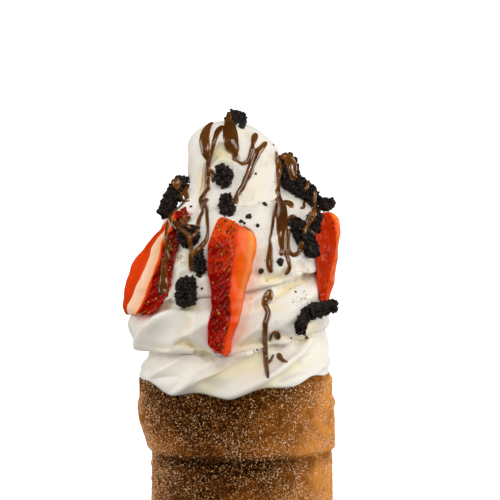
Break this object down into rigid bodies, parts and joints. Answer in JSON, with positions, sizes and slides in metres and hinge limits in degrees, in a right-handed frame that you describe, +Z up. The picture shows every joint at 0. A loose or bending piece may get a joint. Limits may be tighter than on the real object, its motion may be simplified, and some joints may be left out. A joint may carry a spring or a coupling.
{
  "type": "filled chimney cake cone",
  "caption": "Chimney cake cup rolled in cinnamon sugar, filled with piped whipped cream, with strawberry wedges, broken cocoa cookies and chocolate drizzle.",
  "frame": {"origin": "centre of the flat closed end that the cup stands on", "axes": "+Z up along the cup's axis towards the peak of the cream, -Y is the front that the picture shows"},
  "size_m": [0.0786, 0.0843, 0.1957],
  "materials": {
    "crust": "baked crust with sugar grains",
    "cream": "smooth whipped cream",
    "strawberry": "moist fruit",
    "cocoa": "broken cookie"
  },
  "bodies": {
    "root": {"cake": "crust", "cookie_back_left": "cocoa", "cookie_back_left_bottom": "cocoa", "cookie_back_right_slant": "cocoa", "cookie_back_upper": "cocoa", "cookie_left": "cocoa", "cookie_left_bottom": "cocoa", "cookie_left_long": "cocoa", "cookie_left_low": "cocoa", "cookie_low_bar": "cocoa", "cookie_low_leg": "cocoa", "cookie_middle": "cocoa", "cookie_peak": "cocoa", "cookie_right_block": "cocoa", "cookie_right_end": "cocoa", "cookie_right_long": "cocoa", "cookie_right_slant": "cocoa", "cookie_right_top": "cocoa", "cookie_upper": "cocoa", "cream": "cream", "strawberry_back": "strawberry", "strawberry_front": "strawberry", "strawberry_left": "strawberry", "strawberry_right": "strawberry"}
  },
  "joints": []
}
